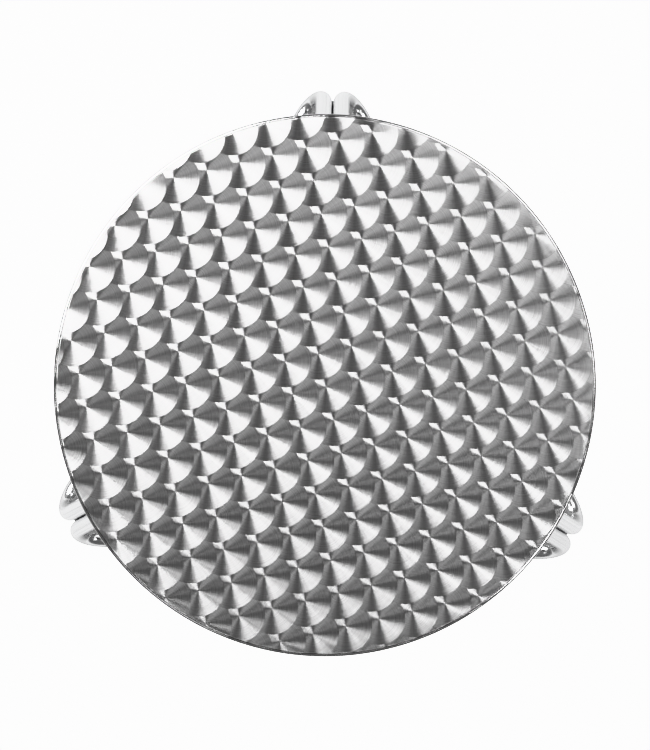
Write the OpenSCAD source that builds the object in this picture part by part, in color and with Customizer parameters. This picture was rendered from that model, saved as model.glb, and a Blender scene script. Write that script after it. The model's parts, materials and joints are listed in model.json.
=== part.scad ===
// Round bistro table with a swirled metal top on a base of three bent tube loops.
// Millimetres. Origin on the table's axis at floor level, +Z up, +Y towards foot 1.

/* [Overall] */
// Height of the table top above the floor
table_height = 720; // [680:5:760]
// Diameter of the top over its rolled edge
top_diameter = 600; // [500:10:700]

/* [Top] */
// Thickness of the metal skin
skin_thickness = 0.8; // [0.6:0.1:1.2]
// Depth of the rolled edge
edge_depth = 28; // [22:1:36]
// Radius of the bend where the flat turns down
edge_radius = 3.8; // [3:0.2:6]
// Drop of the fine crease that rings the flat
crease_drop = 0.35; // [0.2:0.05:0.6]
// Width of the hem turned in under the core
hem_width = 12; // [8:1:16]

/* [Tube loops] */
// Outside diameter of the tube
tube_diameter = 22; // [20:0.5:25]
// Wall thickness of the tube
tube_wall = 1.5; // [1:0.1:2]
// Gap between the two tubes of a pair
pair_gap = 0.8; // [0.6:0.1:2]
// Steepness of the lower legs, in degrees
leg_steepness = 51; // [46:1:56]
// Height of the floor rails' axis
rail_height = 26; // [24:1:32]
// Radius at which a leg's axis meets the rail's height
foot_reach = 400.6; // [360:0.2:420]
// Bend radius at the feet, on the tube's axis
foot_bend = 29; // [26:1:36]
// Bend radius above and below the waist, on the tube's axis
waist_bend = 80; // [60:5:90]
// Bend radius under the top, on the tube's axis
shoulder_bend = 60; // [45:5:80]
// Radius of the tubes' axes at the waist
waist_radius = 34; // [32:1:44]
// Height at which the waist ends and the tubes spread
waist_top = 590; // [570:5:610]
// Radius at which the tubes turn level under the top
arm_start = 115; // [100:5:140]
// Radius at which the tubes end under the top
arm_end = 235; // [200:5:260]

/* [Waist clamp] */
// Height of the middle of the waist clamp
clamp_height = 535; // [520:5:550]
// Length of the waist clamp along the tubes
clamp_length = 34; // [24:1:40]
// Distance of the clamp bolts from the pair's middle
clamp_bolt_t = 28.5; // [27:0.5:32]

/* [Feet] */
// Radius of each levelling glide from the table's axis
glide_reach = 359; // [350:1:366]
// Diameter of the glide's pad
pad_diameter = 28; // [24:1:32]
// Thickness of the glide's pad
pad_height = 5.6; // [5:0.2:8]
// Travel of the levelling glide
glide_travel = 8; // [4:1:10]
// Width of the shoe's arm under each rail
shoe_width = 15; // [12:1:18]
// Distance of the shoe's screw from the tube's corner point
shoe_screw_s = 60; // [58:1:64]
// Radius at which the shoe's rib ends in the notch between the elbows
rib_end = 374; // [370:1:380]

/* [Hidden] */
H = table_height;
RT = top_diameter / 2;
RO = tube_diameter / 2;
RI = RO - tube_wall;
T = RO + pair_gap / 2;
under = H - edge_depth;
arm_z = under - RO - 0.2;
shoe_z = pad_height + 0.9;

// Gaps that hold pieces of one body face to face: laid on, and slid into
LIE = 0.05;
SLIDE = 0.1;

// Top: flat inside the crease, bend into the hem, board's bevel
crease_width = 0.8;
flat_r = RT - edge_radius - crease_width;
hem_bend = 2;
core_bevel = 1.6;
crease_relief = 1.2;

// Saddles: distance from the table's axis, length along the tubes, sheet, foot beside each screw
saddle_r = 200;
saddle_len = 34;
saddle_sheet = 2.4;
saddle_ear = 8;
saddle_t = T + RO + 2.6 + saddle_ear;
saddle_web = 3;

// Wood screws of the saddles: head, shank, cross recess
wood_head_r = 4.2;
wood_head_h = 2.6;
wood_shank_r = 2.2;
wood_shank_h = 19;
wood_hole_r = 2.4;
cross_w = 1;
wood_cross = 5.2;
wood_cross_h = 1.8;

// Plugs in the tube ends: cap and spigot
plug_cap_h = 2;
plug_depth = 14;

// Waist clamp: corners of the hub, parting face, outer face of the ears, bolts
hub_corner = 47;
split = waist_radius + 0.2;
hub_gap = 0.6;
cap_gap = 0.4;
cap_wall = 3.5;
ear = waist_radius + 7;
ear_width = 7;
bolt_len = 18;
bolt_r = 2.5;
bolt_head_r = 4.5;
bolt_head_h = 5;
hub_hole_r = 2.55;
cap_hole_r = 2.7;
key_r = 2.3;
key_z = 2.2;

// Shoes: height of the arms and of the rib, seat round the glide, bridge between the arms
shoe_height = 16;
rib_height = 26;
rib_width = 5;
shoe_arm_s = 34;
seat_r = 16;
bridge_x = 14;
bridge_y = 48;
cradle_len = 60;
cradle_leg = 40;

// Screws of the shoes: pilot in the tube, hole, countersunk seat, head, shank, cross recess
pilot_r = 2;
screw_hole_r = 2.3;
screw_seat_r = 4.6;
screw_seat_h = 4;
screw_head_r = 4;
screw_head_h = 2.7;
screw_shank_r = 1.95;
screw_shank_h = 13;
screw_cross = 5;
screw_cross_h = 1.6;

// Glides: insert, stud and its head, pad
insert_r = 5.45;
insert_h = 11.9;
stud_r = 4;
stud_h = glide_travel + 7.2;
stud_head_r = 5.6;
stud_head_h = 2.2;
stud_head_z = 3.05;
pad_seat_z = 3;
pad_side_h = 2.6;
pad_slope = 4.5;

// Corner points of one tube in a foot's own frame: x outwards, y sideways, z up
P_end = [arm_end, T, arm_z];
P_arm = [arm_start, T, arm_z];
P_wt = [waist_radius, T, waist_top];
P_wb = [waist_radius, T, rail_height + (foot_reach - waist_radius) * tan(leg_steepness)];
P_ft = [foot_reach, T, rail_height];
rail_dir = [-cos(30), sin(30), 0];

// Directions in the rail's own frame: x outwards, y along the rail to the foot, z up
rail_y = [0, 1, 0];
leg_dir = [-cos(leg_steepness) * cos(60), -cos(leg_steepness) * sin(60), sin(leg_steepness)];
neck = unit(P_arm - P_wt);

// Turn and tangent length of each bend
foot_turn = turn(rail_y, leg_dir);
low_turn = 90 - leg_steepness;
high_turn = turn([0, 0, 1], neck);
arm_turn = turn(neck, [1, 0, 0]);
foot_t = foot_bend * tan(foot_turn / 2);
low_t = waist_bend * tan(low_turn / 2);
high_t = waist_bend * tan(high_turn / 2);
arm_t = shoulder_bend * tan(arm_turn / 2);

// Middle of the floor rail: distance from the table's axis, and half its straight length
rail_mid = foot_reach * cos(60) + T * sin(60);
rail_half = foot_reach * sin(60) - T * cos(60);

// Rolls that bring each bend's plane round to the one before it
bend_x = unit(leg_dir - leg_dir[1] * rail_y);
after_x = cos(foot_turn) * bend_x - sin(foot_turn) * rail_y;
after_y = cross(leg_dir, after_x);
up_x = unit([0, 0, 1] - leg_dir[2] * leg_dir);
foot_roll = atan2(-bend_x[2], bend_x[0]);
low_roll = atan2(up_x * after_y, up_x * after_x);

// One half of a loop from the rail's end: roll, bend radius, bend angle, straight length after it
TUBE = [
  [foot_roll, foot_bend, foot_turn, norm(P_wb - P_ft) - foot_t - low_t],
  [low_roll, waist_bend, low_turn, norm(P_wt - P_wb) - low_t - high_t],
  [0, waist_bend, high_turn, norm(P_arm - P_wt) - high_t - arm_t],
  [0, shoulder_bend, arm_turn, norm(P_end - P_arm) - arm_t]];

// A bend is this much thinner than its straights, and runs this far into them
SEAM = 0.02;
LAP = 0.5;

$fn = 64;

function unit(v) = v / norm(v);
function turn(u, w) = acos(u * w);
function arc(cx, cy, r, a0, a1, n) =
  [for (i = [0:n]) let (a = a0 + (a1 - a0) * i / n) [cx + r * cos(a), cy + r * sin(a)]];

// Places a foot's own frame: 1 at +Y, 2 and 3 each 120 degrees on
module at_foot(k) {
  rotate([0, 0, 90 + 120 * (k - 1)]) children();
}

// Bend of a round bar from +Z towards +X
module elbow(bend_r, angle, r) {
  lap = LAP / bend_r * 180 / PI;
  translate([bend_r, 0, 0]) rotate([90, 0, 180]) rotate([0, 0, -lap])
    rotate_extrude(angle = angle + 2 * lap) translate([bend_r, 0]) circle(r = r - SEAM);
}

// Bends and straights of a round bar, each one starting where the last one ends
module bent(steps, r, i = 0) {
  st = steps[i];
  rotate([0, 0, st[0]]) {
    elbow(st[1], st[2], r);
    translate([st[1], 0, 0]) rotate([0, st[2], 0]) translate([-st[1], 0, 0]) {
      cylinder(r = r, h = st[3]);
      if (i + 1 < len(steps)) translate([0, 0, st[3]]) bent(steps, r, i + 1);
    }
  }
}

// A whole loop as a solid bar: floor rail, and a leg up from each end
module loop_bar(r) {
  h = rail_half - foot_t;
  translate([0, 0, -h]) cylinder(r = r, h = 2 * h);
  for (s = [0, 1]) mirror([0, 0, s]) translate([0, 0, h]) bent(TUBE, r);
}

// Frame at the middle of the floor rail between foot k and the next, +Z towards that one
module at_rail(k) {
  at_foot(k) rotate([0, 0, 60]) translate([rail_mid, 0, rail_height])
    rotate([-90, 0, 0]) children();
}

module loop_tube(k) {
  color([0.80, 0.81, 0.82]) at_rail(k) difference() {
    loop_bar(RO);
    loop_bar(RI);
    for (s = [0, 1]) mirror([0, 0, s]) shoe_pilot();
  }
}

// Screw hole through the lower wall of the rail
module shoe_pilot() {
  translate([0, 0, rail_half - shoe_screw_s]) rotate([-90, 0, 0])
    translate([0, 0, RO - 2 * tube_wall]) cylinder(r = pilot_r, h = 2 * tube_wall + 1);
}

// Metal dish: flat, fine crease, rolled edge, wall and turned-in hem
module top_skin() {
  s = skin_thickness;
  z1 = H - crease_drop;
  cx = RT - edge_radius;
  hx = RT - hem_bend;
  hz = under + hem_bend;
  color([0.74, 0.75, 0.76]) rotate_extrude() polygon(concat(
    [[0, H], [flat_r, H], [flat_r + 0.5, z1]],
    arc(cx, z1 - edge_radius, edge_radius, 90, 0, 9),
    arc(hx, hz, hem_bend, 0, -90, 5),
    [[RT - hem_width, under], [RT - hem_width, under + s]],
    arc(hx, hz, hem_bend - s, -90, 0, 5),
    arc(cx, z1 - edge_radius, edge_radius - s, 0, 90, 9),
    [[flat_r + 0.3, z1 - s], [flat_r - 0.2, H - s], [0, H - s]]));
}

// Board that fills the dish, with its edges eased to clear the skin's bends
module top_core() {
  r = RT - skin_thickness - SLIDE;
  zt = H - skin_thickness - LIE;
  zb = under + skin_thickness + LIE;
  e = edge_radius + 0.4;
  c = e + crease_relief;
  color([0.62, 0.49, 0.34]) rotate_extrude()
    polygon([[0, zb], [r - core_bevel, zb], [r, zb + core_bevel], [r, zt - e],
      [r - e, zt - crease_drop], [r - c, zt - crease_drop], [r - c - 0.6, zt], [0, zt]]);
}

// Black balancing sheet inside the hem
module top_backing() {
  r = RT - hem_width - 0.3;
  color([0.08, 0.08, 0.08]) difference() {
    translate([0, 0, under]) cylinder(r = r, h = skin_thickness);
    for (k = [1:3]) at_foot(k) saddle_holes();
  }
}

// Clearance for the two screws of a saddle
module saddle_holes() {
  for (s = [-1, 1]) translate([saddle_r, s * saddle_t, under - 6])
    cylinder(r = wood_hole_r, h = 26);
}

// Outline of a saddle across the tubes, as a solid block
module saddle_outline(r) {
  for (s = [-1, 1]) translate([s * T, arm_z]) circle(r = r);
  translate([-T, arm_z - r]) square([2 * T, r]);
  translate([-T - r, arm_z]) square([2 * T + 2 * r, under - LIE - arm_z]);
  translate([-saddle_t - saddle_ear, under - LIE - saddle_sheet])
    square([2 * saddle_t + 2 * saddle_ear, saddle_sheet]);
}

// Strap that holds a pair of tubes up against the underside
module top_saddle(k) {
  w = RO + SLIDE;
  color([0.72, 0.73, 0.74]) at_foot(k) difference() {
    translate([saddle_r - saddle_len / 2, 0, 0])
      rotate([90, 0, 90]) linear_extrude(saddle_len) difference() {
        saddle_outline(w + saddle_sheet);
        for (s = [-1, 1]) translate([s * T, arm_z]) circle(r = w);
        translate([-T, arm_z - w + saddle_web]) square([2 * T, w]);
        translate([-T - w, arm_z]) square([2 * T + 2 * w, under + 5 - arm_z]);
        translate([-100, under - LIE]) square([200, 20]);
      }
    saddle_holes();
  }
}

// Cross recess that opens downwards
module cross_recess(size, h) {
  translate([-size / 2, -cross_w / 2, 0]) cube([size, cross_w, h]);
  translate([-cross_w / 2, -size / 2, 0]) cube([cross_w, size, h]);
}

// Pan-head wood screws through the saddles into the core
module saddle_screws() {
  z = under - 2 * LIE - saddle_sheet - LIE;
  color([0.70, 0.71, 0.72]) for (k = [1:3]) at_foot(k)
    for (s = [-1, 1]) translate([saddle_r, s * saddle_t, z]) difference() {
      union() {
        translate([0, 0, -wood_head_h]) cylinder(r = wood_head_r, h = wood_head_h);
        cylinder(r = wood_shank_r, h = wood_shank_h);
      }
      translate([0, 0, -wood_head_h - 0.4]) cross_recess(wood_cross, wood_cross_h);
    }
}

// Plugs that close the six tube ends
module tube_plugs() {
  color([0.06, 0.06, 0.06]) for (k = [1:3]) at_foot(k)
    for (s = [-1, 1]) translate([arm_end, s * T, arm_z]) rotate([0, 90, 0]) {
      translate([0, 0, LIE]) cylinder(r = RO - 0.2, h = plug_cap_h);
      translate([0, 0, -plug_depth]) cylinder(r = RI - LIE, h = plug_depth + LIE);
    }
}

// Solid hub between the six tubes at the waist
module waist_hub() {
  color([0.66, 0.67, 0.68]) translate([0, 0, clamp_height - clamp_length / 2])
    difference() {
      linear_extrude(clamp_length) difference() {
        intersection_for (k = [1:3]) rotate(90 + 120 * (k - 1))
          translate([-90, -90]) square([90 + split - hub_gap, 180]);
        for (k = [1:3]) rotate(30 + 120 * (k - 1))
          translate([hub_corner, -60]) square([60, 120]);
        for (k = [1:3]) rotate(90 + 120 * (k - 1))
          for (s = [-1, 1]) translate([waist_radius, s * T]) circle(r = RO + LIE);
      }
      for (k = [1:3]) at_foot(k) for (s = [-1, 1])
        translate([ear - bolt_len - 0.5, s * clamp_bolt_t, clamp_length / 2])
          rotate([0, 90, 0]) cylinder(r = hub_hole_r, h = 30);
    }
}

// Outline of a clamp cap round its two tubes, with an ear for each bolt
module cap_outline() {
  r = RO + cap_wall;
  x = split + cap_gap;
  y = clamp_bolt_t + ear_width;
  for (s = [-1, 1]) translate([waist_radius, s * T]) circle(r = r);
  translate([waist_radius, -T]) square([r, 2 * T]);
  translate([x, -y]) square([ear - x, 2 * y]);
}

// Cap that clamps one pair of tubes to the hub
module waist_clamp(k) {
  color([0.66, 0.67, 0.68]) at_foot(k)
    translate([0, 0, clamp_height - clamp_length / 2]) difference() {
      linear_extrude(clamp_length) difference() {
        cap_outline();
        for (s = [-1, 1]) translate([waist_radius, s * T]) circle(r = RO + LIE);
        translate([-60, -60]) square([60 + split + cap_gap, 120]);
      }
      for (s = [-1, 1]) translate([0, s * clamp_bolt_t, clamp_length / 2])
        rotate([0, 90, 0]) cylinder(r = cap_hole_r, h = 100);
    }
}

// Cap screws that draw the clamps onto the hub
module waist_bolts() {
  color([0.60, 0.61, 0.62]) for (k = [1:3]) at_foot(k) for (s = [-1, 1])
    translate([ear + LIE, s * clamp_bolt_t, clamp_height]) rotate([0, 90, 0])
      difference() {
        union() {
          cylinder(r = bolt_head_r, h = bolt_head_h);
          translate([0, 0, -bolt_len]) cylinder(r = bolt_r, h = bolt_len + LIE);
        }
        translate([0, 0, key_z]) cylinder(r = key_r, h = bolt_head_h, $fn = 6);
      }
}

// Moulded shoe under the two elbows of a foot
module foot_shoe(k) {
  p = P_ft + shoe_screw_s * rail_dir;
  color([0.05, 0.05, 0.05]) difference() {
    at_foot(k) difference() {
      union() {
        translate([0, 0, shoe_z]) linear_extrude(shoe_height) shoe_plan();
        translate([0, 0, shoe_z]) linear_extrude(rib_height) shoe_rib();
      }
      for (s = [0, 1]) mirror([0, s, 0]) translate([p[0], p[1], 0]) {
        cylinder(r = screw_hole_r, h = 40);
        cylinder(r = screw_seat_r, h = shoe_z + screw_seat_h);
      }
      translate([glide_reach, 0, shoe_z - 1]) cylinder(r = insert_r + LIE, h = insert_h + 1.1);
      translate([glide_reach, 0, 0]) cylinder(r = stud_r + 0.2, h = shoe_z + 15);
    }
    shoe_cradle(k, 0);
    shoe_cradle(k - 1, 1);
  }
}

// The space of one loop's rail end, elbow and lower leg
module shoe_cradle(k, side) {
  r = RO + 0.06;
  at_rail(k) mirror([0, 0, 1 - side]) translate([0, 0, rail_half - foot_t]) {
    translate([0, 0, -cradle_len]) cylinder(r = r, h = cradle_len);
    bent([[foot_roll, foot_bend, foot_turn, cradle_leg]], r);
  }
}

// Outline of a shoe from above: an arm under each rail, a seat for the glide, a bridge
module shoe_plan() {
  a = shoe_width / 2;
  for (s = [-1, 1]) {
    translate([P_ft[0], s * T]) rotate(s * 150) translate([shoe_arm_s, -a])
      square([shoe_screw_s - shoe_arm_s, 2 * a]);
    translate([P_ft[0] - shoe_screw_s * cos(30), s * (T + shoe_screw_s * sin(30))])
      circle(r = a);
  }
  translate([glide_reach, 0]) circle(r = seat_r);
  translate([glide_reach - 5, -bridge_y / 2]) square([bridge_x, bridge_y]);
}

// Rib that rises between the two elbows
module shoe_rib() {
  x = glide_reach + 6;
  translate([x, -rib_width / 2]) square([rib_end - x, rib_width]);
}

// Screws that hold the shoes to the rails
module shoe_screws() {
  p = P_ft + shoe_screw_s * rail_dir;
  color([0.70, 0.71, 0.72]) for (k = [1:3]) at_foot(k) for (s = [-1, 1])
    translate([p[0], s * p[1], shoe_z + 1.2]) difference() {
      union() {
        cylinder(r = screw_head_r, h = screw_head_h);
        cylinder(r = screw_shank_r, h = screw_shank_h);
      }
      translate([0, 0, -1]) cross_recess(screw_cross, screw_cross_h + 1);
    }
}

// Threaded insert moulded into the shoe
module glide_insert(k) {
  color([0.72, 0.58, 0.30]) at_foot(k) translate([glide_reach, 0, shoe_z]) difference() {
    cylinder(r = insert_r, h = insert_h);
    translate([0, 0, -1]) cylinder(r = stud_r + LIE, h = insert_h + 2.1);
  }
}

// Threaded stud: round head held in the pad, shank up into the insert
module glide_stud(k) {
  color([0.66, 0.67, 0.68]) at_foot(k) translate([glide_reach, 0, 0]) {
    translate([0, 0, stud_head_z]) cylinder(r = stud_head_r, h = stud_head_h);
    translate([0, 0, stud_head_z + stud_head_h - LIE]) cylinder(r = stud_r, h = stud_h);
  }
}

// Round nylon pad that meets the floor
module glide_pad(k) {
  r = pad_diameter / 2;
  color([0.05, 0.05, 0.05]) at_foot(k) translate([glide_reach, 0, 0]) difference() {
    rotate_extrude() polygon([[0, 0], [r - 1, 0], [r, 1], [r, pad_side_h],
      [r - pad_slope, pad_height], [0, pad_height]]);
    translate([0, 0, pad_seat_z]) cylinder(r = stud_head_r + SLIDE, h = stud_head_h + SLIDE);
    translate([0, 0, pad_seat_z]) cylinder(r = stud_r + 0.4, h = pad_height);
  }
}

top_skin();
top_core();
top_backing();
top_saddle(1);  // top_saddle_1
top_saddle(2);  // top_saddle_2
top_saddle(3);  // top_saddle_3
saddle_screws();
loop_tube(1);  // loop_tube_1
loop_tube(2);  // loop_tube_2
loop_tube(3);  // loop_tube_3
tube_plugs();
waist_hub();
waist_clamp(1);  // waist_clamp_1
waist_clamp(2);  // waist_clamp_2
waist_clamp(3);  // waist_clamp_3
waist_bolts();
foot_shoe(1);  // foot_shoe_1
foot_shoe(2);  // foot_shoe_2
foot_shoe(3);  // foot_shoe_3
shoe_screws();
glide_insert(1);  // glide_insert_1
glide_insert(2);  // glide_insert_2
glide_insert(3);  // glide_insert_3
glide_stud(1);  // glide_stud_1
glide_stud(2);  // glide_stud_2
glide_stud(3);  // glide_stud_3
glide_pad(1);  // glide_pad_1
glide_pad(2);  // glide_pad_2
glide_pad(3);  // glide_pad_3
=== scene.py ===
"""Looks of a round bistro table: a swirl-finished steel top on three loops of bent tube."""

import json
from math import acos, cos, pi, radians, sin, sqrt, tan

import bmesh
import bpy
from mathutils import Matrix, Vector


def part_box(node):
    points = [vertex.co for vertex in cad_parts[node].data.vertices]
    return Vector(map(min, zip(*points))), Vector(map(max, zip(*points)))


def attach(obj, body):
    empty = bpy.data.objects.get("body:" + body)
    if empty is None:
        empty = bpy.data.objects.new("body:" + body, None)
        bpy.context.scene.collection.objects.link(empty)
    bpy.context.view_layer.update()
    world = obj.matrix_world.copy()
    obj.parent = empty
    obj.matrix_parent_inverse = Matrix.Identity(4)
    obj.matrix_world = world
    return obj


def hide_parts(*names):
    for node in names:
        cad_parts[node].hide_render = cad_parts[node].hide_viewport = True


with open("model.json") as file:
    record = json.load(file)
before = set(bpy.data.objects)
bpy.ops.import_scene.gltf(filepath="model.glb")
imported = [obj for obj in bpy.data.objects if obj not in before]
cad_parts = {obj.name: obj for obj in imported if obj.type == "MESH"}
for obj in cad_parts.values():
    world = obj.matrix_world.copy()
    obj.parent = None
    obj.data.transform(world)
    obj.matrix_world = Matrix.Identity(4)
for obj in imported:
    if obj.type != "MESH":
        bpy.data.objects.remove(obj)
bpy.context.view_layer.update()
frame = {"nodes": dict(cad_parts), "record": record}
NODES = frame["nodes"]
MM = 0.001

# ---------------------------------------------------------------- driving dimensions, metres
skin_lo, skin_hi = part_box("top_skin")
TOP_Z = skin_hi.z
TOP_R = 299.97 * MM
UNDER_Z = skin_lo.z
SHEET = 0.8 * MM
EDGE_R = 3.8 * MM
CREASE = 0.35 * MM
FLAT_R = TOP_R - EDGE_R - 0.8 * MM
HEM = 12 * MM
HEM_R = 2 * MM

TUBE_R = 10.92 * MM
TUBE_BORE = 9.5 * MM
PAIR_T = 11.4 * MM
LEG_STEEP = radians(51)
RAIL_Z = 26 * MM
FOOT_REACH = 400.6 * MM
FOOT_BEND = 29 * MM
WAIST_BEND = 80 * MM
SHOULDER_BEND = 60 * MM
WAIST_R = 34 * MM
WAIST_TOP = 590 * MM
ARM_START = 115 * MM
ARM_END = 235 * MM
ARM_Z = UNDER_Z - TUBE_R - 0.2 * MM

SWIRL_PITCH = 37.5 * MM
SWIRL_R = 28.7 * MM
SWIRL_TURN = radians(14.5)
SWIRL_AT = (1.4 * MM, -1.8 * MM)
SWIRL_ROUGH = 0.37
SWIRL_TONE = 0.72
SWIRL_WANDER = 0.055          # how far a brush mark strays from its circle, as a slope
SWIRL_CUT_SHADE = 0.7 * MM          # width of the painted shade line where one disc cuts into the next
SWIRL_SPOT = 0.9 * MM         # radius of the dull spot at a disc's centre
CREASE_MID = FLAT_R + 0.55 * MM
CREASE_SHADE_MID = FLAT_R + 1.25 * MM  # painted shade line at the outer side of the crease
EDGE_ROUGH = 0.17             # the rolled edge, which the forming tool burnishes


# ---------------------------------------------------------------- mesh helpers
def new_object(name, verts, faces, smooth=True):
    mesh = bpy.data.meshes.new(name)
    mesh.from_pydata([tuple(v) for v in verts], [], faces)
    mesh.validate()
    bm = bmesh.new()
    bm.from_mesh(mesh)
    bmesh.ops.recalc_face_normals(bm, faces=bm.faces)
    bm.to_mesh(mesh)
    bm.free()
    if smooth:
        mesh.polygons.foreach_set("use_smooth", [True] * len(mesh.polygons))
    obj = bpy.data.objects.new(name, mesh)
    bpy.context.scene.collection.objects.link(obj)
    return obj


def sharpen(obj, degrees=35):
    """Marks edges sharper than an angle, so smooth shading stops at them."""
    bm = bmesh.new()
    bm.from_mesh(obj.data)
    for e in bm.edges:
        if len(e.link_faces) == 2 and e.calc_face_angle(0) > radians(degrees):
            e.smooth = False
    bm.to_mesh(obj.data)
    bm.free()
    return obj


def arc(cx, cz, r, a0, a1, n):
    """Points of an arc in a lathe's profile, angles in degrees."""
    return [
        (cx + r * cos(radians(a0 + (a1 - a0) * i / n)), cz + r * sin(radians(a0 + (a1 - a0) * i / n)))
        for i in range(n + 1)
    ]


def lathe_data(profile, segments, closed=True):
    """Vertices and faces of a (radius, height) profile turned about Z. Radius 0 makes a pole. A radius or a
    height may be a function of the angle."""
    angles = [2 * pi * s / segments for s in range(segments)]
    verts, faces, rings = [], [], []
    for r, z in profile:
        if r == 0:
            rings.append([len(verts)] * segments)
            verts.append((0, 0, z))
            continue
        rings.append(list(range(len(verts), len(verts) + segments)))
        for a in angles:
            ra = r(a) if callable(r) else r
            verts.append((ra * cos(a), ra * sin(a), z(a) if callable(z) else z))
    pairs = list(zip(rings, rings[1:]))
    if closed:
        pairs.append((rings[-1], rings[0]))
    for lower, upper in pairs:
        for s in range(segments):
            t = (s + 1) % segments
            face = [lower[s], lower[t], upper[t], upper[s]]
            face = [v for i, v in enumerate(face) if v != face[i - 1]]
            if len(face) > 2:
                faces.append(face)
    return verts, faces


def lathe(name, profile, segments=96):
    """A profile that starts and ends on the axis is left open there; any other is closed."""
    on_axis = profile[0][0] == 0 and profile[-1][0] == 0
    return new_object(name, *lathe_data(profile, segments, not on_axis))


def thread(root, crest, pitch, z0, z1, tip=0.0, turns=10):
    """Rings of a right-hand thread from z0 up to z1. A tip narrows its upper end by that much."""
    n = int((z1 - z0) / pitch * turns)

    def ring(z):
        cone = crest - max(0.0, tip - (z1 - z))

        def radius(a):
            wave = abs(2 * ((z / pitch - a / (2 * pi)) % 1) - 1)
            return min(root + (crest - root) * min(1.0, 1.2 * wave), cone)

        return radius

    heights = [z0 + (z1 - z0) * i / n for i in range(n + 1)]
    return [(ring(z), z) for z in heights]


def cross(arm, half):
    """Outline of a cross recess, as a radius for each angle."""
    def radius(a):
        c, s = max(abs(cos(a)), 1e-6), max(abs(sin(a)), 1e-6)
        return max(min(arm / c, half / s), min(arm / s, half / c))

    return radius


def hexagon(r):
    """Outline of a hexagon of corner radius r."""
    return lambda a: r * cos(pi / 6) / cos((a + pi / 6) % (pi / 3) - pi / 6)


def fluted(r, depth, count):
    """A round outline with shallow flutes."""
    return lambda a: r - depth * max(0.0, cos(count * a))


def dome(top, sag, r):
    """Height of a domed head over an outline of its own."""
    return lambda outline: (lambda a: top - sag * (outline(a) / r) ** 2)


def place(obj, matrix):
    obj.data.transform(matrix)
    obj.data.update()
    return obj


def bake_modifiers(obj):
    baked = bpy.data.meshes.new_from_object(obj.evaluated_get(bpy.context.evaluated_depsgraph_get()))
    obj.modifiers.clear()
    old = obj.data
    obj.data = baked
    bpy.data.meshes.remove(old)
    return obj


def even_normals(obj):
    """Lets each large flat face keep its own direction, so that only the eased edges look round."""
    mod = obj.modifiers.new("normals", "WEIGHTED_NORMAL")
    mod.keep_sharp = True
    return bake_modifiers(obj)


def carve(obj, cutters):
    """Takes the cutters out of a piece."""
    for cutter in cutters:
        mod = obj.modifiers.new("carve", "BOOLEAN")
        mod.operation, mod.solver, mod.object = "DIFFERENCE", "EXACT", cutter
    bake_modifiers(obj)
    for cutter in cutters:
        bpy.data.objects.remove(cutter)
    return obj


def eased(name, node, ease, cutters=(), segments=3):
    """A piece with its CAD node's exact shape and every sharp edge rounded off."""
    source = NODES[node]
    mesh = source.data.copy()
    mesh.transform(source.matrix_world)
    obj = bpy.data.objects.new(name, mesh)
    bpy.context.scene.collection.objects.link(obj)
    if cutters:
        carve(obj, cutters)
    bm = bmesh.new()
    bm.from_mesh(obj.data)
    bmesh.ops.remove_doubles(bm, verts=bm.verts, dist=2e-6)
    bmesh.ops.dissolve_limit(bm, angle_limit=radians(0.6), verts=bm.verts, edges=bm.edges)
    sharp = [e for e in bm.edges if len(e.link_faces) == 2 and e.calc_face_angle(0) > radians(28)]
    bmesh.ops.bevel(bm, geom=sharp, offset=ease, offset_type="OFFSET", segments=segments, profile=0.5,
                    affect="EDGES", clamp_overlap=True)
    bmesh.ops.triangulate(bm, faces=[f for f in bm.faces if len(f.verts) > 4])
    bm.to_mesh(obj.data)
    bm.free()
    obj.data.polygons.foreach_set("use_smooth", [True] * len(obj.data.polygons))
    return even_normals(sharpen(obj, 40))


def foot_turn(k):
    """Turns a foot's own frame (x outwards) to foot k: foot 1 is at +Y."""
    return Matrix.Rotation(radians(90 + 120 * (k - 1)), 4, "Z")


def join(name, parts):
    """One object from several meshes."""
    bm = bmesh.new()
    for p in parts:
        bm.from_mesh(p.data)
        old = p.data
        bpy.data.objects.remove(p)
        bpy.data.meshes.remove(old)
    mesh = bpy.data.meshes.new(name)
    bm.to_mesh(mesh)
    bm.free()
    obj = bpy.data.objects.new(name, mesh)
    bpy.context.scene.collection.objects.link(obj)
    return obj


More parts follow.
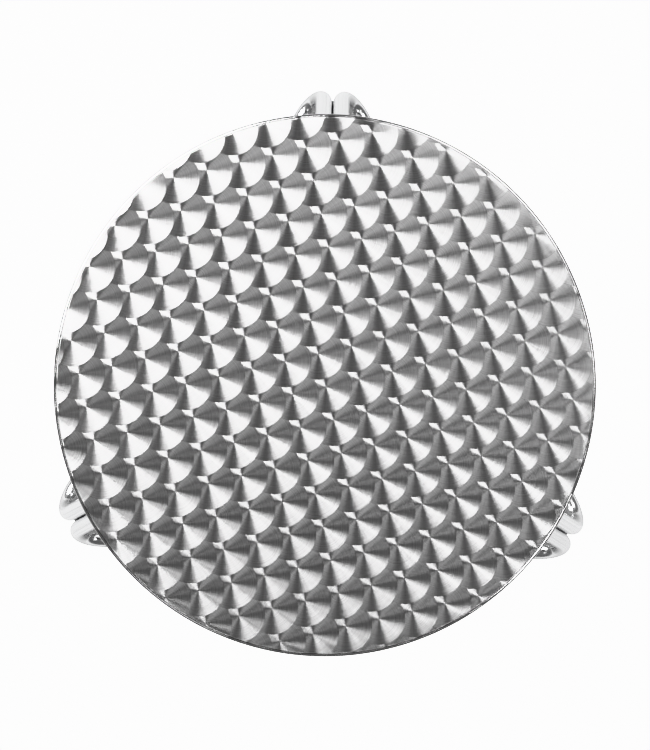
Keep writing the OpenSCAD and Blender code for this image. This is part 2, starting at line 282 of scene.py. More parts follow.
# ---------------------------------------------------------------- shader helpers
class Shader:
    """A material's node tree, with short calls for its maths."""

    def __init__(self, name):
        self.mat = bpy.data.materials.new(name)
        self.mat.use_nodes = True
        self.nt = self.mat.node_tree
        self.bsdf = self.nt.nodes["Principled BSDF"]

    def node(self, kind, **settings):
        n = self.nt.nodes.new("ShaderNode" + kind)
        for k, v in settings.items():
            setattr(n, k, v)
        return n

    def put(self, socket, value):
        if hasattr(value, "is_output"):
            self.nt.links.new(value, socket)
        else:
            socket.default_value = value

    def math(self, op, a, b=None, c=None):
        n = self.node("Math", operation=op)
        for i, v in enumerate((a, b, c)):
            if v is not None:
                self.put(n.inputs[i], v)
        return n.outputs[0]

    def vec(self, op, a, b=None, scale=None):
        n = self.node("VectorMath", operation=op)
        self.put(n.inputs[0], a)
        if b is not None:
            self.put(n.inputs[1], b)
        if scale is not None:
            self.put(n.inputs["Scale"], scale)
        return n.outputs["Value"] if op in ("DOT_PRODUCT", "LENGTH", "DISTANCE") else n.outputs["Vector"]

    def split(self, v):
        n = self.node("SeparateXYZ")
        self.put(n.inputs[0], v)
        return n.outputs[0], n.outputs[1], n.outputs[2]

    def join(self, x, y, z):
        n = self.node("CombineXYZ")
        for i, v in enumerate((x, y, z)):
            self.put(n.inputs[i], v)
        return n.outputs[0]

    def pick(self, choose, a, b):
        """a where choose is 0, b where it is 1."""
        n = self.node("Mix", data_type="FLOAT")
        self.put(n.inputs[0], choose)
        self.put(n.inputs[2], a)
        self.put(n.inputs[3], b)
        return n.outputs[0]

    def remap(self, v, a0, a1, b0, b1):
        n = self.node("MapRange")
        for i, x in enumerate((v, a0, a1, b0, b1)):
            self.put(n.inputs[i], x)
        return n.outputs[0]

    def blend(self, factor, a, b):
        n = self.node("Mix", data_type="RGBA")
        self.put(n.inputs[0], factor)
        self.put(n.inputs[6], a)
        self.put(n.inputs[7], b)
        return n.outputs[2]

    def noise(self, where=None, scale=5.0, detail=2.0, rough=0.5, dims="3D", w=None):
        n = self.node("TexNoise", noise_dimensions=dims)
        if where is not None:
            self.put(n.inputs["Vector"], where)
        if w is not None:
            self.put(n.inputs["W"], w)
        n.inputs["Scale"].default_value = scale
        n.inputs["Detail"].default_value = detail
        n.inputs["Roughness"].default_value = rough
        return n.outputs[0]

    def random(self, where):
        n = self.node("TexWhiteNoise", noise_dimensions="3D")
        self.put(n.inputs["Vector"], where)
        return n.outputs["Value"]

    def here(self):
        return self.node("TexCoord").outputs["Object"]

    def attribute(self, name):
        return self.node("Attribute", attribute_name=name).outputs["Vector"]

    def bump(self, height, distance):
        n = self.node("Bump")
        n.inputs["Strength"].default_value = 1.0
        n.inputs["Distance"].default_value = distance
        self.put(n.inputs["Height"], height)
        self.nt.links.new(n.outputs[0], self.bsdf.inputs["Normal"])

    def set(self, **values):
        for k, v in values.items():
            self.put(self.bsdf.inputs[k.replace("_", " ")], v)


def grey(v):
    return (v, v, v, 1)


# ---------------------------------------------------------------- materials
def swirled_steel():
    """Overlapping discs of concentric brush marks on a square lattice, laid from the lower right to the
    upper left, so each disc lies over its right and lower neighbours. The pattern is laid on the flat
    sheet: the mesh's sheet attribute says where each point was before the edge was rolled."""
    s = Shader("swirled_steel")
    sx, sy, _ = s.split(s.attribute("sheet"))
    ca, sa = cos(SWIRL_TURN), sin(SWIRL_TURN)
    px = s.math("SUBTRACT", sx, SWIRL_AT[0])
    py = s.math("SUBTRACT", sy, SWIRL_AT[1])
    # lattice coordinates in pitches: u to the right, v downwards
    u = s.math("MULTIPLY_ADD", px, ca / SWIRL_PITCH, s.math("MULTIPLY", py, sa / SWIRL_PITCH))
    v = s.math("MULTIPLY_ADD", px, sa / SWIRL_PITCH, s.math("MULTIPLY", py, -ca / SWIRL_PITCH))
    iu, iv = s.math("FLOOR", u), s.math("FLOOR", v)
    fu, fv = s.math("SUBTRACT", u, iu), s.math("SUBTRACT", v, iv)
    reach = SWIRL_R / SWIRL_PITCH

    def inside(du, dv):
        a = s.math("SUBTRACT", fu, float(du))
        b = s.math("SUBTRACT", fv, float(dv))
        d = s.math("SQRT", s.math("MULTIPLY_ADD", a, a, s.math("MULTIPLY", b, b)))
        return s.math("LESS_THAN", d, reach)

    # the disc that shows: upper left first, then upper right, lower left, lower right
    in00, in10, in01 = inside(0, 0), inside(1, 0), inside(0, 1)
    du = s.pick(in00, s.pick(in10, s.pick(in01, 1.0, 0.0), 1.0), 0.0)
    dv = s.pick(in00, s.pick(in10, s.pick(in01, 1.0, 1.0), 0.0), 0.0)
    lu, lv = s.math("SUBTRACT", fu, du), s.math("SUBTRACT", fv, dv)
    disc = s.join(s.math("ADD", iu, du), s.math("ADD", iv, dv), 0.0)
    # back to metres on the sheet
    dx = s.math("MULTIPLY_ADD", lu, ca * SWIRL_PITCH, s.math("MULTIPLY", lv, sa * SWIRL_PITCH))
    dy = s.math("MULTIPLY_ADD", lu, sa * SWIRL_PITCH, s.math("MULTIPLY", lv, -ca * SWIRL_PITCH))
    dist = s.math("SQRT", s.math("MULTIPLY_ADD", dx, dx, s.math("MULTIPLY", dy, dy)))
    one = s.math("MAXIMUM", dist, 1e-5)
    ax, ay = s.math("DIVIDE", dx, one), s.math("DIVIDE", dy, one)
    seed = s.random(disc)
    ring = s.math("MULTIPLY_ADD", dist, 1 / MM, s.math("MULTIPLY", seed, 977.0))
    # each brush mark wanders a little, so the edge of a reflection breaks into fine arcs
    arcs = s.noise(s.join(s.math("MULTIPLY", ax, 1.6), s.math("MULTIPLY", ay, 1.6),
                          s.math("MULTIPLY", ring, 0.9)), scale=1.0, detail=3.0, rough=0.65)
    wander = s.remap(arcs, 0.3, 0.7, -SWIRL_WANDER, SWIRL_WANDER)
    rx = s.math("SUBTRACT", ax, s.math("MULTIPLY", ay, wander))
    ry = s.math("MULTIPLY_ADD", ax, wander, ay)

    # the brush direction, carried from the flat sheet onto the rolled surface
    x, y, _ = s.split(s.here())
    rad = s.math("MAXIMUM", s.math("SQRT", s.math("MULTIPLY_ADD", x, x, s.math("MULTIPLY", y, y))), 1e-5)
    ux, uy = s.math("DIVIDE", x, rad), s.math("DIVIDE", y, rad)
    around = s.join(s.math("MULTIPLY", uy, -1.0), ux, 0.0)
    outward = s.vec("CROSS_PRODUCT", around, s.node("NewGeometry").outputs["Normal"])
    t_out = s.math("MULTIPLY_ADD", rx, ux, s.math("MULTIPLY", ry, uy))
    t_round = s.math("SUBTRACT", s.math("MULTIPLY", ry, ux), s.math("MULTIPLY", rx, uy))
    tangent = s.vec("ADD", s.vec("SCALE", outward, scale=t_out), s.vec("SCALE", around, scale=t_round))
    s.put(s.bsdf.inputs["Tangent"], tangent)

    # concentric marks, finer and coarser, differing from disc to disc
    fine = s.noise(dims="1D", w=ring, scale=0.9, detail=4.0, rough=0.75)
    broad = s.noise(dims="1D", w=s.math("ADD", ring, 31.0), scale=0.35, detail=2.0)
    spoke = s.noise(s.join(s.math("MULTIPLY", ax, 6.0), s.math("MULTIPLY", ay, 6.0),
                           s.math("MULTIPLY", seed, 57.0)), scale=1.0, detail=3.0, rough=0.6)
    smudge = s.noise(s.here(), scale=9.0, detail=3.0)
    rough = s.math("ADD", s.remap(broad, 0.3, 0.7, -0.025, 0.025), s.remap(spoke, 0.3, 0.7, -0.02, 0.02))
    rough = s.math("ADD", rough, s.remap(smudge, 0.35, 0.65, -0.012, 0.012))
    # the crease is a painted highlight band: its base colour is lifted to 0.95 and its roughness set to 0.5
    along = s.node("Attribute", attribute_name="flat_radius").outputs["Fac"]
    off_crease = s.math("ABSOLUTE", s.math("SUBTRACT", along, CREASE_MID))
    crease_highlight = s.remap(off_crease, 0.45 * MM, 0.85 * MM, 1.0, 0.0)
    # the forming roller burnishes the edge beyond it
    burnish = s.remap(along, FLAT_R + 0.9 * MM, FLAT_R + 1.8 * MM, SWIRL_ROUGH, EDGE_ROUGH)
    s.put(s.bsdf.inputs["Roughness"], s.pick(crease_highlight, s.math("ADD", rough, burnish), 0.5))
    tone = s.math("ADD", s.remap(fine, 0.3, 0.7, -0.13, 0.13), s.remap(spoke, 0.3, 0.7, -0.05, 0.05))
    tone = s.math("ADD", tone, s.math("MULTIPLY_ADD", seed, 0.03, -0.015))
    grain = s.noise(s.here(), scale=1100.0, detail=1.0)
    tone = s.math("ADD", tone, s.remap(grain, 0.3, 0.7, -0.03, 0.03))
    hub = s.remap(dist, 0.0, SWIRL_SPOT, 0.55, 1.0)
    # painted shade: a fine dark line where one disc cuts into the next
    cut_shade = s.remap(s.math("SUBTRACT", SWIRL_R, dist), 0.0, SWIRL_CUT_SHADE, 0.62, 1.0)
    value = s.math("MULTIPLY", s.math("MULTIPLY", s.math("ADD", tone, SWIRL_TONE), hub), cut_shade)
    # painted highlight: a light line of base colour along the crease
    value = s.pick(crease_highlight, value, 0.95)
    # painted shade: a dark line of base colour at the outer side of the crease
    off_crease_shade = s.math("ABSOLUTE", s.math("SUBTRACT", along, CREASE_SHADE_MID))
    value = s.math("MULTIPLY", value, s.remap(off_crease_shade, 0.2 * MM, 0.5 * MM, 0.3, 1.0))
    s.put(s.bsdf.inputs["Base Color"], s.join(value, s.math("MULTIPLY", value, 0.996),
                                              s.math("MULTIPLY", value, 0.998)))
    s.set(Metallic=1.0, Anisotropic=1.0)
    s.bump(fine, 0.004 * MM)
    return s.mat


def metal(name, tone, rough, grain=400.0, spread=0.06, tint=(1, 1, 1), bump=0.01, pits=0.0):
    """Plain metal with uneven sheen and a fine surface grain."""
    s = Shader(name)
    here = s.here()
    cloud = s.noise(here, scale=22.0, detail=4.0, rough=0.6)
    fine = s.noise(here, scale=grain, detail=3.0, rough=0.6)
    value = s.math("ADD", s.remap(cloud, 0.3, 0.7, -0.03, 0.03), tone)
    if pits:
        value = s.math("MULTIPLY", value, s.remap(fine, 0.3, 0.42, 1.0 - pits, 1.0))
    s.put(s.bsdf.inputs["Base Color"], s.join(*[s.math("MULTIPLY", value, t) for t in tint]))
    s.put(s.bsdf.inputs["Roughness"], s.math("ADD", s.remap(
        s.math("ADD", s.math("MULTIPLY", cloud, 0.6), s.math("MULTIPLY", fine, 0.4)), 0.3, 0.7,
        -spread, spread), rough))
    s.set(Metallic=1.0)
    s.bump(fine, bump * MM)
    return s.mat


def bright_tube():
    """Bright drawn aluminium tube: fine marks along the tube, faint dull patches."""
    s = Shader("bright_tube")
    a, b, c = s.split(s.attribute("along"))

    def lines(along, across, detail, rough):
        """Noise drawn out along the tube: how often it changes in each metre along and across."""
        where = s.join(s.math("MULTIPLY", a, along), s.math("MULTIPLY", b, across),
                       s.math("MULTIPLY", c, across))
        return s.noise(where, scale=1.0, detail=detail, rough=rough)

    marks = lines(14.0, 2400.0, 4.0, 0.65)
    cloud = s.noise(s.here(), scale=16.0, detail=4.0, rough=0.55)
    streaks = lines(5.0, 320.0, 3.0, 0.6)
    value = s.math("ADD", s.remap(marks, 0.3, 0.7, -0.05, 0.05), s.remap(cloud, 0.3, 0.7, 0.84, 0.89))
    value = s.math("ADD", value, s.remap(streaks, 0.3, 0.7, -0.09, 0.06))
    s.put(s.bsdf.inputs["Base Color"], s.join(value, s.math("MULTIPLY", value, 1.003),
                                              s.math("MULTIPLY", value, 1.008)))
    s.put(s.bsdf.inputs["Roughness"], s.math("ADD", s.remap(marks, 0.3, 0.7, -0.06, 0.06),
                                             s.remap(cloud, 0.3, 0.7, 0.17, 0.25)))
    s.set(Metallic=1.0)
    s.bump(marks, 0.0015 * MM)
    return s.mat


def moulded(name, tone, rough=0.5):
    """Spark-textured moulded plastic."""
    s = Shader(name)
    here = s.here()
    grain = s.noise(here, scale=1500.0, detail=2.0)
    cloud = s.noise(here, scale=40.0, detail=3.0)
    value = s.math("ADD", s.remap(cloud, 0.3, 0.7, -0.006, 0.008), tone)
    value = s.math("ADD", value, s.remap(grain, 0.35, 0.65, -0.005, 0.005))
    s.put(s.bsdf.inputs["Base Color"], s.join(value, value, s.math("MULTIPLY", value, 1.03)))
    s.put(s.bsdf.inputs["Roughness"], s.math("ADD", s.remap(cloud, 0.3, 0.7, -0.06, 0.06), rough))
    s.set(Specular_IOR_Level=0.45)
    s.bump(grain, 0.05 * MM)
    return s.mat


def fibreboard():
    """Raw fibreboard: short pale and dark fibres."""
    s = Shader("fibreboard")
    here = s.here()
    fibre = s.noise(s.vec("MULTIPLY", here, (900.0, 900.0, 300.0)), scale=1.0, detail=4.0, rough=0.7)
    cloud = s.noise(here, scale=14.0, detail=3.0)
    colour = s.blend(s.remap(fibre, 0.35, 0.65, 0.0, 1.0), (0.36, 0.24, 0.13, 1), (0.60, 0.44, 0.27, 1))
    colour = s.blend(s.remap(cloud, 0.3, 0.7, 0.0, 0.25), colour, (0.50, 0.36, 0.22, 1))
    s.put(s.bsdf.inputs["Base Color"], colour)
    s.set(Roughness=0.85)
    s.bump(fibre, 0.08 * MM)
    return s.mat


def backing_sheet():
    """Black phenolic balancing sheet with a fine leathery grain."""
    s = Shader("backing_sheet")
    here = s.here()
    cell = s.node("TexVoronoi", feature="SMOOTH_F1")
    s.put(cell.inputs["Vector"], here)
    cell.inputs["Scale"].default_value = 900.0
    cloud = s.noise(here, scale=12.0, detail=4.0)
    value = s.remap(cloud, 0.3, 0.7, 0.018, 0.030)
    s.put(s.bsdf.inputs["Base Color"], s.join(value, value, value))
    s.put(s.bsdf.inputs["Roughness"], s.remap(cloud, 0.3, 0.7, 0.48, 0.62))
    s.bump(cell.outputs["Distance"], 0.06 * MM)
    return s.mat


MAT = {
    "swirled_steel": swirled_steel(),
    "bright_tube": bright_tube(),
    "cast_aluminium": metal("cast_aluminium", 0.60, 0.38, grain=700.0, bump=0.03, pits=0.12),
    "zinc_steel": metal("zinc_steel", 0.56, 0.30, grain=900.0, tint=(0.97, 1.0, 1.05)),
    "brass": metal("brass", 0.72, 0.30, tint=(1.0, 0.78, 0.42)),
    "black_plastic": moulded("black_plastic", 0.063, 0.42),
    "black_nylon": moulded("black_nylon", 0.057, 0.52),
    "board": fibreboard(),
    "backing_sheet": backing_sheet(),
}
SLOT = {p["node"]: p["material_slot"] for p in frame["record"]["subparts"]}


def finish_piece(obj, node, body="table", slot=None):
    """Gives a new piece its material, and lets it stand for its CAD node."""
    slot = slot or SLOT[node]
    obj.data.materials.clear()
    obj.data.materials.append(MAT[slot])
    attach(obj, body)
    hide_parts(node)
    return obj


for node, obj in NODES.items():
    obj.data.materials.clear()
    obj.data.materials.append(MAT[SLOT[node]])


# ---------------------------------------------------------------- the top
def top_skin():
    crease_z = TOP_Z - CREASE
    cx = TOP_R - EDGE_R
    outer = [(0, TOP_Z)] + [(FLAT_R * i / 24, TOP_Z) for i in range(1, 25)]
    outer += [(FLAT_R + x * MM, TOP_Z - z * MM) for x, z in
              ((0.08, 0.02), (0.22, 0.12), (0.36, 0.28), (0.46, 0.38), (0.56, 0.41), (0.66, 0.39))]
    outer += arc(cx, crease_z - EDGE_R, EDGE_R, 90, 0, 20)
    outer += [(TOP_R, UNDER_Z + 18 * MM), (TOP_R, UNDER_Z + 10 * MM)]
    outer += arc(TOP_R - HEM_R, UNDER_Z + HEM_R, HEM_R, 0, -90, 10)
    outer += [(TOP_R - HEM, UNDER_Z)]
    inner = [(TOP_R - HEM, UNDER_Z + SHEET)]
    inner += arc(TOP_R - HEM_R, UNDER_Z + HEM_R, HEM_R - SHEET, -90, 0, 6)
    inner += arc(cx, crease_z - EDGE_R, EDGE_R - SHEET, 0, 90, 10)
    inner += [(FLAT_R + 0.3 * MM, crease_z - SHEET), (FLAT_R - 0.2 * MM, TOP_Z - SHEET), (0, TOP_Z - SHEET)]
    profile = outer + inner
    obj = lathe("top_sheet", profile, 512)
    # where each point was on the flat sheet
    run, at = {}, 0.0
    for (r0, z0), (r1, z1) in zip([(0, TOP_Z)] + outer, outer):
        at += sqrt((r1 - r0) ** 2 + (z1 - z0) ** 2)
        run[(round(r1 / MM, 3), round(z1 / MM, 3))] = at
    obj.data.attributes.new("sheet", "FLOAT_VECTOR", "POINT")
    obj.data.attributes.new("flat_radius", "FLOAT", "POINT")
    flat, reach = obj.data.attributes["sheet"].data, obj.data.attributes["flat_radius"].data
    for v in obj.data.vertices:
        r = sqrt(v.co.x ** 2 + v.co.y ** 2)
        s = run.get((round(r / MM, 3), round(v.co.z / MM, 3)), r)
        k = s / r if r > 1e-6 else 0
        flat[v.index].vector = (v.co.x * k, v.co.y * k, 0)
        reach[v.index].value = s
    return finish_piece(sharpen(obj, 60), "top_skin")


def top_core():
    r = TOP_R - SHEET - 0.1 * MM
    zt = TOP_Z - SHEET - 0.05 * MM
    zb = UNDER_Z + SHEET + 0.05 * MM
    e = EDGE_R + 0.4 * MM
    profile = [(0, zb), (r - 1.6 * MM, zb), (r, zb + 1.6 * MM), (r, zt - e), (r - e, zt - CREASE),
               (r - e - 1.2 * MM, zt - CREASE), (r - e - 1.8 * MM, zt), (0, zt)]
    return finish_piece(sharpen(lathe("top_board", profile, 256)), "top_core")


top_skin()
top_core()


# ---------------------------------------------------------------- bent tubes
def tube_path():
    """Centre line of one leg in its foot's own frame, from the arm's end to the middle of the rail."""
    p_end = Vector((ARM_END, PAIR_T, ARM_Z))
    p_arm = Vector((ARM_START, PAIR_T, ARM_Z))
    p_top = Vector((WAIST_R, PAIR_T, WAIST_TOP))
    p_low = Vector((WAIST_R, PAIR_T, RAIL_Z + (FOOT_REACH - WAIST_R) * tan(LEG_STEEP)))
    p_foot = Vector((FOOT_REACH, PAIR_T, RAIL_Z))
    rail = Vector((-cos(pi / 6), sin(pi / 6), 0))
    half = FOOT_REACH * sin(pi / 3) - PAIR_T * cos(pi / 3)
    corners = [p_end, p_arm, p_top, p_low, p_foot, p_foot + rail * half]
    bends = [SHOULDER_BEND, WAIST_BEND, WAIST_BEND, FOOT_BEND]
    points = [p_end]
    for a, v, b, r in zip(corners, corners[1:], corners[2:], bends):
        u, w = (v - a).normalized(), (b - v).normalized()
        turn = acos(u.dot(w))
        n = (w - u * u.dot(w)).normalized()
        centre = v - u * (r * tan(turn / 2)) + n * r
        steps = max(12, int(turn / radians(3)))
        points += [centre + (u * sin(turn * i / steps) - n * cos(turn * i / steps)) * r
                   for i in range(steps + 1)]
    return points + [corners[-1]]


def spaced(points, gap):
    """The same line with long straights cut into shorter lengths."""
    out = [points[0]]
    for a, b in zip(points, points[1:]):
        n = max(1, int((b - a).length / gap))
        out += [a.lerp(b, i / n) for i in range(1, n + 1)]
    return out


def sweep(path, radius, sides):
    """Rings of vertices along a path, with a frame that doesn't twist."""
    rings = []
    tangent = (path[1] - path[0]).normalized()
    side = tangent.orthogonal().normalized()
    for i, p in enumerate(path):
        ahead = path[min(i + 1, len(path) - 1)]
        behind = path[max(i - 1, 0)]
        t = (ahead - behind).normalized()
        side = (side - t * side.dot(t)).normalized()
        other = t.cross(side)
        rings.append([p + (side * cos(2 * pi * s / sides) + other * sin(2 * pi * s / sides)) * radius
                      for s in range(sides)])
    return rings


def loop_tube(k, sides=48):
    leg = spaced(tube_path(), 12 * MM)
    away = [foot_turn(k) @ p for p in leg]
    back = [foot_turn(k + 1) @ Vector((p.x, -p.y, p.z)) for p in leg]
    path = away + back[-2::-1]
    outer, inner = sweep(path, TUBE_R, sides), sweep(path, TUBE_BORE, sides)
    verts = [v for ring in outer for v in ring] + [v for ring in inner for v in ring]
    n = len(path)

    def index(shell, i, s):
        return (shell * n + i) * sides + s % sides

    faces = []
    for i in range(n - 1):
        for s in range(sides):
            faces.append((index(0, i, s), index(0, i, s + 1), index(0, i + 1, s + 1), index(0, i + 1, s)))
            faces.append((index(1, i, s), index(1, i + 1, s), index(1, i + 1, s + 1), index(1, i, s + 1)))
    for i in (0, n - 1):
        for s in range(sides):
            faces.append((index(0, i, s), index(0, i, s + 1), index(1, i, s + 1), index(1, i, s)))
    obj = new_object(f"tube_loop_{k}", verts, faces)
    run = [0.0]
    for a, b in zip(path, path[1:]):
        run.append(run[-1] + (b - a).length)
    attr = obj.data.attributes.new("along", "FLOAT_VECTOR", "POINT")
    for v in obj.data.vertices:
        i, s = (v.index // sides) % n, v.index % sides
        angle = 2 * pi * s / sides
        attr.data[v.index].vector = (run[i], TUBE_R * cos(angle), TUBE_R * sin(angle))
    return finish_piece(sharpen(obj, 50), f"loop_tube_{k}")


for k in (1, 2, 3):
    loop_tube(k)


# ---------------------------------------------------------------- underside and saddles
SADDLE_R = 200 * MM
SADDLE_T = PAIR_T + TUBE_R + 10.6 * MM
SADDLE_FACE = UNDER_Z - 2.55 * MM
BACKING_R = TOP_R - HEM - 0.3 * MM
HOLE_R = 2.4 * MM


def ring_points(centre, r, count):
    return [(centre[0] + r * cos(2 * pi * i / count), centre[1] + r * sin(2 * pi * i / count))
            for i in range(count)]


def sheet_with_holes(name, outline, holes, z0, z1):
    """A flat sheet between two heights, with holes through it."""
    bm = bmesh.new()
    for z in (z0, z1):
        edges = []
        for loop in [outline] + holes:
            vs = [bm.verts.new((x, y, z)) for x, y in loop]
            edges += [bm.edges.new((a, b)) for a, b in zip(vs, vs[1:] + vs[:1])]
        bmesh.ops.triangle_fill(bm, edges=edges, use_beauty=True)
    bm.verts.ensure_lookup_table()
    half = len(bm.verts) // 2
    start = 0
    for loop in [outline] + holes:
        n = len(loop)
        for i in range(n):
            a, b = start + i, start + (i + 1) % n
            bm.faces.new([bm.verts[a], bm.verts[b], bm.verts[half + b], bm.verts[half + a]])
        start += n
    bmesh.ops.recalc_face_normals(bm, faces=bm.faces)
    mesh = bpy.data.meshes.new(name)
    bm.to_mesh(mesh)
    bm.free()
    obj = bpy.data.objects.new(name, mesh)
    bpy.context.scene.collection.objects.link(obj)
    return sharpen(obj)


def at_saddles(make):
    """One piece for each of the six saddle screws."""
    parts = []
    for k in (1, 2, 3):
        for side in (-1, 1):
            spot = Matrix.Translation((SADDLE_R, side * SADDLE_T, 0))
            parts.append(place(make(), foot_turn(k) @ spot))
    return parts


def top_backing():
    holes = []
    for k in (1, 2, 3):
        for side in (-1, 1):
            at = foot_turn(k) @ Vector((SADDLE_R, side * SADDLE_T, 0))
            holes.append(ring_points((at.x, at.y), HOLE_R, 32))
    obj = sheet_with_holes("top_backing_sheet", ring_points((0, 0), BACKING_R, 360), holes, UNDER_Z,
                           UNDER_Z + SHEET)
    return finish_piece(obj, "top_backing")


def pan_screw(head_r, head_h, arm, half, shank, length, pitch, face):
    """A pan-head screw with a cross recess: its head's flat face at a height, shank upwards."""
    recess = cross(arm, half)
    over = dome(-head_h, -0.28 * head_h, head_r)
    floor = 0.55 * head_h
    profile = [(0, -head_h + floor + 0.3 * MM), (lambda a: 0.45 * recess(a), -head_h + floor),
               (lambda a: 0.86 * recess(a), over(recess)), (recess, over(recess))]
    for share in (0.70, 0.80, 0.88, 0.94):
        r = share * head_r
        profile.append((r, over(lambda a, r=r: r)(0)))
    profile += [(0.98 * head_r, -0.62 * head_h), (head_r, -0.45 * head_h), (head_r, -0.1 * head_h),
                (0.97 * head_r, 0), (shank * 1.02, 0)]
    profile += [(r, z) for r, z in thread(0.72 * shank, shank, pitch, 0.6 * MM, length - 2.5 * MM, 0, 8)]
    profile += [(0.3 * shank, length - 0.4 * MM), (0, length)]
    obj = lathe("screw", profile, 96)
    return place(obj, Matrix.Translation((0, 0, face)))


def saddle_screws():
    screws = at_saddles(lambda: pan_screw(
        head_r=4.2 * MM, head_h=2.6 * MM, arm=2.5 * MM, half=0.5 * MM, shank=2.2 * MM, length=19 * MM,
        pitch=2.0 * MM, face=SADDLE_FACE))
    return finish_piece(sharpen(join("saddle_wood_screws", screws)), "saddle_screws")


def tube_plugs():
    cap, spigot = TUBE_R - 0.2 * MM, TUBE_BORE - 0.05 * MM
    profile = [(0, -14 * MM), (spigot - 1.2 * MM, -14 * MM), (spigot - 0.5 * MM, -13.4 * MM)]
    for i in range(4):
        z = (-12.2 + 3.0 * i) * MM
        profile += [(spigot - 0.5 * MM, z - 0.5 * MM), (spigot, z), (spigot, z + 0.6 * MM),
                    (spigot - 0.5 * MM, z + 1.0 * MM)]
    profile += [(spigot - 0.3 * MM, 0.05 * MM), (cap - 0.2 * MM, 0.05 * MM), (cap, 0.25 * MM)]
    profile += arc(cap - 0.9 * MM, 1.05 * MM, 0.9 * MM, 0, 80, 6)
    profile += [(cap * 0.5, 2.03 * MM), (0, 2.05 * MM)]
    parts = []
    for k in (1, 2, 3):
        for side in (-1, 1):
            spot = Matrix.Translation((ARM_END, side * PAIR_T, ARM_Z)) @ Matrix.Rotation(pi / 2, 4, "Y")
            parts.append(place(lathe("plug", profile, 72), foot_turn(k) @ spot))
    return finish_piece(sharpen(join("tube_end_plugs", parts)), "tube_plugs")


top_backing()
saddle_screws()
tube_plugs()
for k in (1, 2, 3):
    finish_piece(eased(f"saddle_strap_{k}", f"top_saddle_{k}", 0.45 * MM), f"top_saddle_{k}")


# ---------------------------------------------------------------- waist clamp
CLAMP_Z = 535 * MM
BOLT_T = 28.5 * MM
BOLT_X = WAIST_R + 7.05 * MM


def waist_bolts():
    r, h, key = 4.5 * MM, 5 * MM, hexagon(2.3 * MM)
    knurl = fluted(r, 0.16 * MM, 30)
    profile = [(0, 1.9 * MM), (lambda a: 0.9 * key(a), 2.2 * MM), (key, 2.4 * MM), (key, h - 0.25 * MM),
               (lambda a: key(a) + 0.25 * MM, h), (r - 0.7 * MM, h), (r - 0.25 * MM, h - 0.2 * MM),
               (r - 0.1 * MM, h - 0.6 * MM), (knurl, h - 0.9 * MM), (knurl, 0.5 * MM),
               (r - 0.15 * MM, 0.3 * MM), (r - 0.2 * MM, 0.0), (2.5 * MM, 0.0)]
    shank = thread(2.1 * MM, 2.5 * MM, 0.8 * MM, 1.5 * MM, 17.4 * MM, 0.5 * MM, 8)
    profile += [(turn, -z) for turn, z in shank] + [(1.6 * MM, -18 * MM), (0, -18 * MM)]
    parts = []
    for k in (1, 2, 3):
        for side in (-1, 1):
            spot = Matrix.Translation((BOLT_X, side * BOLT_T, CLAMP_Z)) @ Matrix.Rotation(pi / 2, 4, "Y")
            parts.append(place(lathe("bolt", profile, 120), foot_turn(k) @ spot))
    return finish_piece(sharpen(join("waist_cap_screws", parts), 30), "waist_bolts")


waist_bolts()
finish_piece(eased("waist_hub_casting", "waist_hub", 0.7 * MM), "waist_hub")
for k in (1, 2, 3):
    finish_piece(eased(f"waist_cap_{k}", f"waist_clamp_{k}", 0.8 * MM), f"waist_clamp_{k}")


# ---------------------------------------------------------------- feet
GLIDE_R = 359 * MM
SHOE_Z = 6.5 * MM
SHOE_SCREW_S = 60 * MM


def block(x0, x1, y0, y1, z0, z1):
    verts = [(x, y, z) for z in (z0, z1) for y in (y0, y1) for x in (x0, x1)]
    faces = [(0, 2, 3, 1), (4, 5, 7, 6), (0, 1, 5, 4), (2, 6, 7, 3), (0, 4, 6, 2), (1, 3, 7, 5)]
    return new_object("block", verts, faces, smooth=False)


def on_arm(side, s):
    """A place under a shoe's arm, s along the rail from the tube's corner point, x along the arm."""
    at = Vector((FOOT_REACH - s * cos(pi / 6), side * (PAIR_T + s * sin(pi / 6)), 0))
    return Matrix.Translation(at) @ Matrix.Rotation(side * radians(150), 4, "Z")


def foot_shoe(k):
    pockets = []
    for side in (-1, 1):
        pocket = block(-5.5 * MM, 6 * MM, -4.6 * MM, 4.6 * MM, 4 * MM, SHOE_Z + 1.6 * MM)
        pockets.append(place(pocket, foot_turn(k) @ on_arm(side, 45.5 * MM)))
    groove = lathe("groove", [(8.5 * MM, 4 * MM), (11.5 * MM, 4 * MM), (11.5 * MM, SHOE_Z + 1.2 * MM),
                              (8.5 * MM, SHOE_Z + 1.2 * MM)], 64)
    pockets.append(place(groove, foot_turn(k) @ Matrix.Translation((GLIDE_R, 0, 0))))
    return finish_piece(eased(f"foot_moulding_{k}", f"foot_shoe_{k}", 0.5 * MM, pockets), f"foot_shoe_{k}")


def shoe_screws():
    parts = []
    for k in (1, 2, 3):
        for side in (-1, 1):
            screw = pan_screw(
                head_r=4.0 * MM, head_h=1.5 * MM, arm=2.4 * MM, half=0.5 * MM, shank=1.95 * MM,
                length=11.8 * MM, pitch=1.5 * MM, face=SHOE_Z + 3.9 * MM)
            parts.append(place(screw, foot_turn(k) @ on_arm(side, SHOE_SCREW_S)))
    return finish_piece(sharpen(join("shoe_wood_screws", parts)), "shoe_screws")


